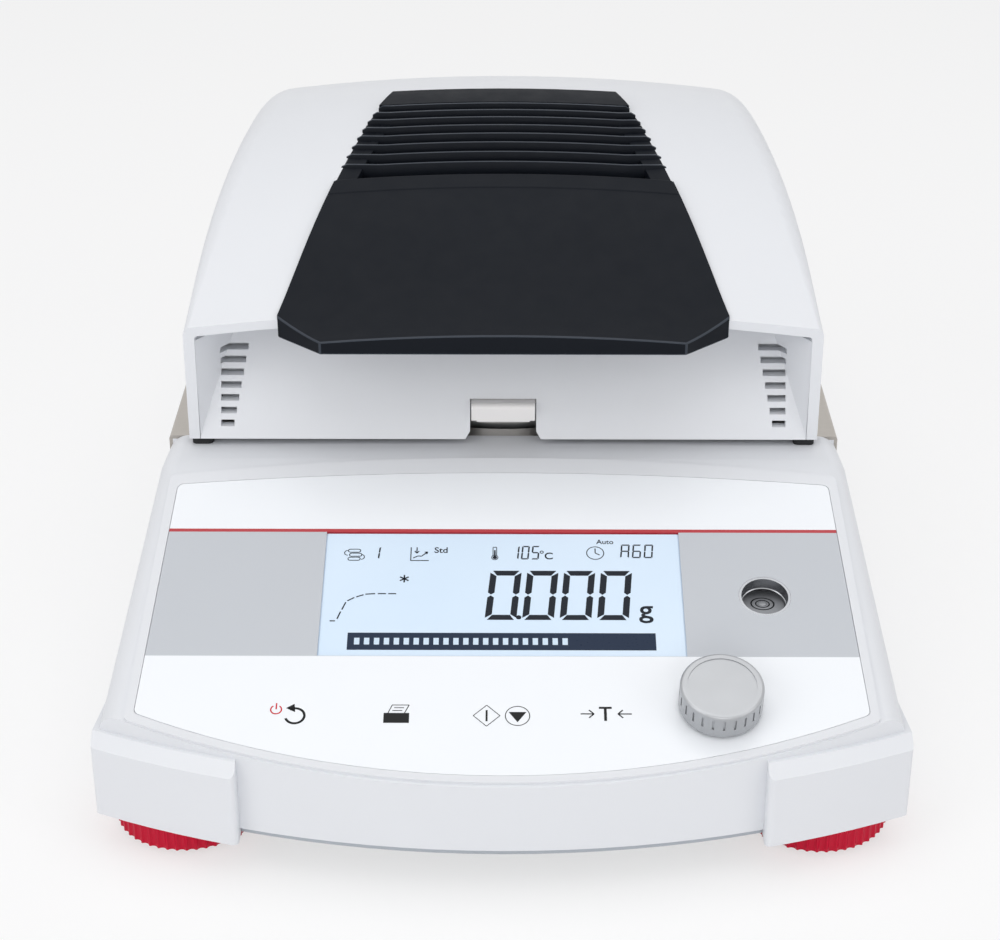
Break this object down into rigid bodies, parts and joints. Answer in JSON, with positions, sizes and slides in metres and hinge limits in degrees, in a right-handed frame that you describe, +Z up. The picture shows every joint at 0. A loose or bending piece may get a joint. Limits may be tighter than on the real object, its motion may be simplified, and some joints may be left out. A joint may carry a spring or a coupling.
{
  "type": "moisture analyzer",
  "caption": "Benchtop moisture analyzer with a hinged heating lid, pan on a load cell, sloping display panel, press-and-turn knob, keys and levelling feet.",
  "frame": {"origin": "centre of the footprint at table height", "axes": "+X to the right seen from the front, +Y from the display towards the back, +Z up"},
  "size_m": [0.2098, 0.326, 0.1452],
  "materials": {
    "housing_white": "fine satin moulding",
    "tray_grey": "matt moulding",
    "overlay_print": "printed polyester film",
    "key_white": "moulded",
    "cover_black": "fine satin moulding",
    "foot_red": "moulded",
    "rubber_black": "matt",
    "steel": "brushed",
    "knob_silver": "silver paint",
    "aluminium": "satin",
    "chrome": "polished",
    "vial": "clear grey",
    "glass": "clear",
    "lamp_quartz": "clear quartz",
    "ceramic": "ceramic",
    "display": "glossy display glass",
    "board_green": "board lacquer",
    "plastic_dark": "moulded",
    "socket_metal": "plated",
    "panel_grey": "powder coat",
    "post_grey": "moulded",
    "brass": "turned"
  },
  "bodies": {
    "base": {"back_panel": "panel_grey", "base_tray": "tray_grey", "board_posts": "post_grey", "display_board": "board_green", "draft_shield": "steel", "encoder_body": "plastic_dark", "foot_bushes": "brass", "fuse_drawer": "plastic_dark", "hinge_bracket_left": "steel", "hinge_bracket_right": "steel", "hinge_pins": "steel", "hinge_washers": "steel", "key_switches": "plastic_dark", "lcd_module": "display", "lcd_spacer": "plastic_dark", "level_holder": "plastic_dark", "level_sleeve": "chrome", "level_vial": "vial", "load_cell": "aluminium", "main_board": "board_green", "mains_inlet": "plastic_dark", "pan_handler": "housing_white", "panel_overlay": "overlay_print", "power_board": "board_green", "rear_foot_left": "rubber_black", "rear_foot_right": "rubber_black", "serial_socket": "plastic_dark", "steel_deck": "steel", "upper_housing": "housing_white", "usb_socket": "socket_metal"},
    "lid": {"lid_shell": "housing_white", "lid_front_panel": "housing_white", "top_cover": "cover_black", "lid_inner_frame": "steel", "protective_glass": "glass", "glass_retainer": "steel", "reflector": "aluminium", "heater_lamp": "lamp_quartz", "lamp_holder": "ceramic", "heat_shield": "steel", "temperature_sensor": "plastic_dark", "frame_posts": "post_grey", "lid_bumpers": "rubber_black", "hinge_arm_left": "steel", "hinge_arm_right": "steel"},
    "weighing": {"pan_support": "aluminium", "sample_pan": "aluminium", "load_cone": "aluminium"},
    "knob_slide": {"encoder_carrier": "aluminium"},
    "knob": {"control_knob": "knob_silver", "encoder_shaft": "aluminium"},
    "key_power": {"key_power": "key_white"},
    "key_print": {"key_print": "key_white"},
    "key_start_stop": {"key_start_stop": "key_white"},
    "key_tare": {"key_tare": "key_white"},
    "foot_sole_left": {"foot_sole_left": "rubber_black"},
    "foot_wheel_left": {"foot_wheel_left": "foot_red"},
    "foot_sole_right": {"foot_sole_right": "rubber_black"},
    "foot_wheel_right": {"foot_wheel_right": "foot_red"}
  },
  "joints": [
    {"name": "lid_hinge", "type": "hinge", "parent": "base", "child": "lid", "pos_m": [0, 0.118, 0.076], "axis": [-1, 0, 0], "range_deg": [0, 62]},
    {"name": "pan_load", "type": "slide", "parent": "base", "child": "weighing", "axis": [0, 0, -1], "range_m": [0, 0.00025], "stiffness_N_per_m": 2500, "springref_m": -0.0008},
    {"name": "knob_push", "type": "slide", "parent": "base", "child": "knob_slide", "axis": [0, 0.3007, -0.9537], "range_m": [0, 0.0006], "stiffness_N_per_m": 2000, "springref_m": -0.0006},
    {"name": "knob_turn", "type": "hinge", "parent": "knob_slide", "child": "knob", "pos_m": [0.0556, -0.13916, 0.04058], "axis": [0, -0.3007, 0.9537], "continuous": true},
    {"name": "key_power_press", "type": "slide", "parent": "base", "child": "key_power", "axis": [0, 0.3007, -0.9537], "range_m": [0, 0.00025], "stiffness_N_per_m": 2000, "springref_m": -0.0005},
    {"name": "key_print_press", "type": "slide", "parent": "base", "child": "key_print", "axis": [0, 0.3007, -0.9537], "range_m": [0, 0.00025], "stiffness_N_per_m": 2000, "springref_m": -0.0005},
    {"name": "key_start_stop_press", "type": "slide", "parent": "base", "child": "key_start_stop", "axis": [0, 0.3007, -0.9537], "range_m": [0, 0.00025], "stiffness_N_per_m": 2000, "springref_m": -0.0005},
    {"name": "key_tare_press", "type": "slide", "parent": "base", "child": "key_tare", "axis": [0, 0.3007, -0.9537], "range_m": [0, 0.00025], "stiffness_N_per_m": 2000, "springref_m": -0.0005},
    {"name": "foot_drop_left", "type": "slide", "parent": "base", "child": "foot_sole_left", "axis": [0, 0, -1], "range_m": [0, 0.003]},
    {"name": "foot_turn_left", "type": "hinge", "parent": "foot_sole_left", "child": "foot_wheel_left", "pos_m": [-0.0829, -0.1288, 0], "axis": [0, 0, -1], "range_deg": [0, 1080]},
    {"name": "foot_drop_right", "type": "slide", "parent": "base", "child": "foot_sole_right", "axis": [0, 0, -1], "range_m": [0, 0.003]},
    {"name": "foot_turn_right", "type": "hinge", "parent": "foot_sole_right", "child": "foot_wheel_right", "pos_m": [0.0829, -0.1288, 0], "axis": [0, 0, -1], "range_deg": [0, 1080]}
  ],
  "couplings": [
    {"joint": "foot_drop_left", "follows": "foot_turn_left", "m_per_rad": 0.00015915},
    {"joint": "foot_drop_right", "follows": "foot_turn_right", "m_per_rad": 0.00015915}
  ]
}
